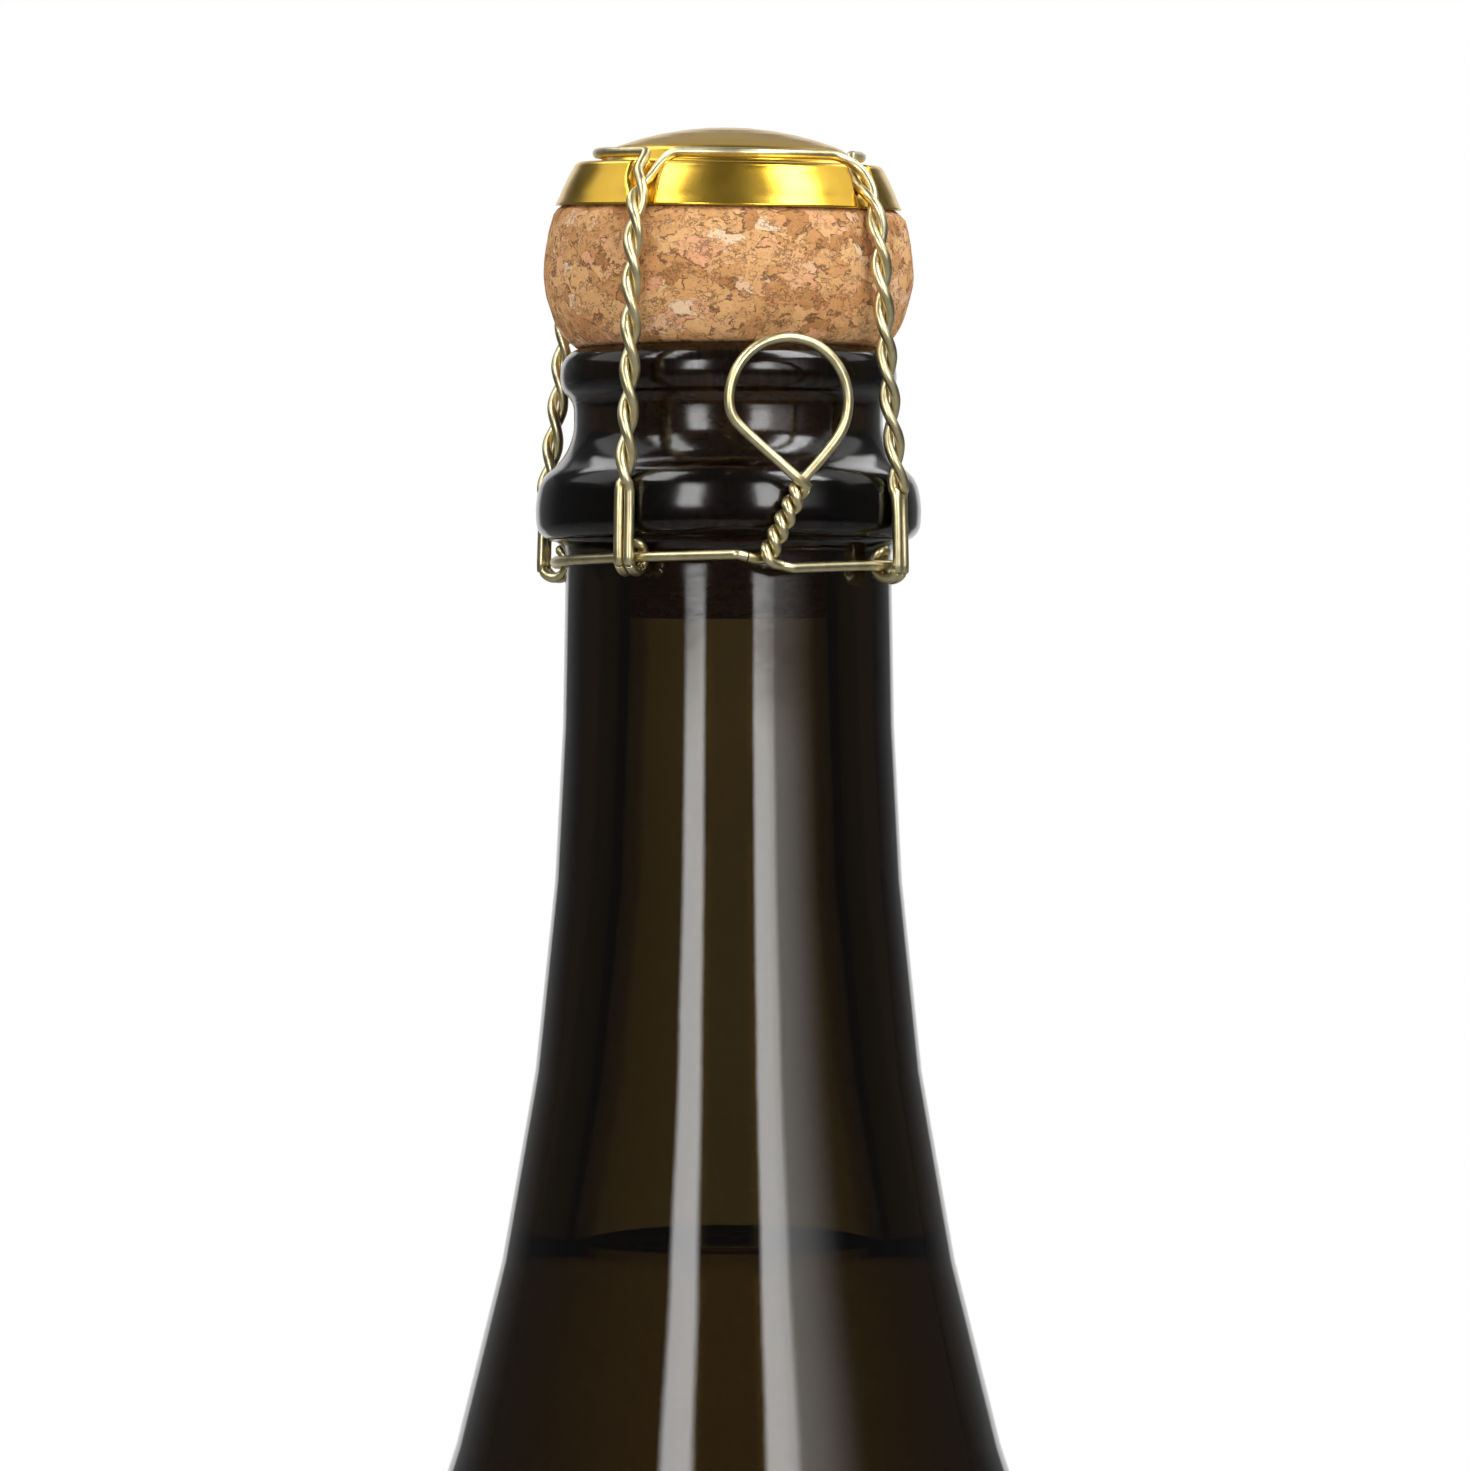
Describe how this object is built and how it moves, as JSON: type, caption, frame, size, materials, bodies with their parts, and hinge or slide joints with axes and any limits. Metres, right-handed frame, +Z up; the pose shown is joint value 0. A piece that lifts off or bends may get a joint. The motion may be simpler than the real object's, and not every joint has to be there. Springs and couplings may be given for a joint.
{
  "type": "sparkling wine bottle",
  "caption": "Closed dark glass bottle for sparkling wine with its cork, gold crown cap and twisted wire cage with a pull loop.",
  "frame": {"origin": "centre of the base, on the plane of the foot ring", "axes": "+Z up along the bottle's axis; -Y is the front that the picture shows, with the pull loop; +X is to its right"},
  "size_m": [0.088, 0.088, 0.3199],
  "materials": {
    "glass": "smooth dark olive bottle glass, nearly black where it is thick",
    "wine": "clear pale gold wine behind the dark glass",
    "cork": "agglomerated cork granules, dry and matte",
    "cork_disc": "natural cork, matte",
    "cap": "gold lacquered thin sheet metal, glossy",
    "wire": "pale champagne gold wire, bright drawn"
  },
  "bodies": {
    "bottle": {"glass_bottle": "glass", "wine": "wine"},
    "cork": {"cork_body": "cork", "cork_disc_upper": "cork_disc", "cork_disc_lower": "cork_disc"},
    "cap": {"cap_disc": "cap"},
    "cage": {"leg_front_left": "wire", "leg_front_right": "wire", "leg_back_right": "wire", "leg_back_left": "wire", "belt_wire": "wire"},
    "loop": {"pull_loop": "wire"}
  },
  "joints": [
    {"name": "cork_pull", "type": "slide", "parent": "bottle", "child": "cork", "axis": [0, 0, 1], "range_m": [0, 0.035]},
    {"name": "cap_lift", "type": "slide", "parent": "cork", "child": "cap", "axis": [0, 0, 1], "range_m": [0, 0.012]},
    {"name": "cage_lift", "type": "slide", "parent": "cap", "child": "cage", "axis": [0, 0, 1], "range_m": [0, 0.045], "deforming": ["leg_front_left", "leg_front_right", "leg_back_right", "leg_back_left", "belt_wire"]},
    {"name": "loop_fold", "type": "hinge", "parent": "cage", "child": "loop", "pos_m": [0.00308, -0.01816, 0.28135], "axis": [0.9318, 0.2849, -0.225], "range_deg": [0, 150]}
  ]
}
